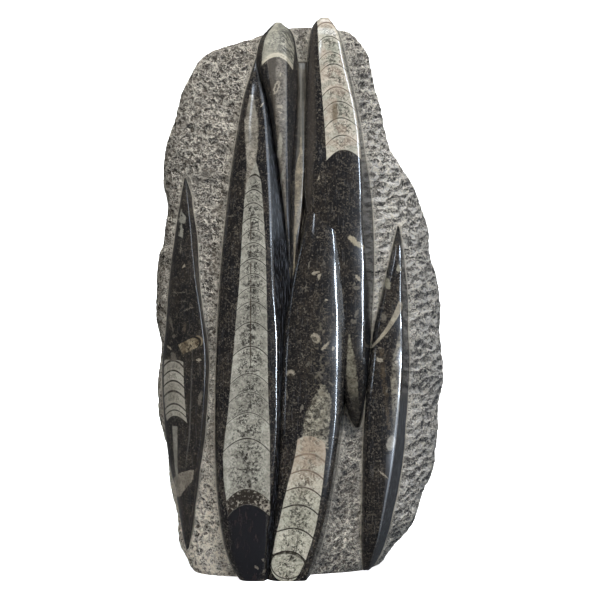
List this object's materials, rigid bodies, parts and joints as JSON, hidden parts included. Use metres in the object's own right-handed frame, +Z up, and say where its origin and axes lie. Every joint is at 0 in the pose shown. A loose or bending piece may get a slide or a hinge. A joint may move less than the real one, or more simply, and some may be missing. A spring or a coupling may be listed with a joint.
{
  "type": "orthoceras fossil",
  "caption": "Upright block of dark limestone on a sawn base, its rough chiselled face carved into raised, polished, blade-like ridges along pale straight orthoceras shells.",
  "frame": {"origin": "middle of the lower face of the bounding box, on the sawn base", "axes": "+Z up along the stone's length, the carved face towards -Y, +X to the right as seen from the front"},
  "size_m": [0.1982, 0.0912, 0.372],
  "materials": {
    "fossil_limestone": "satin"
  },
  "bodies": {
    "root": {"fossil_stone": "fossil_limestone"}
  },
  "joints": []
}
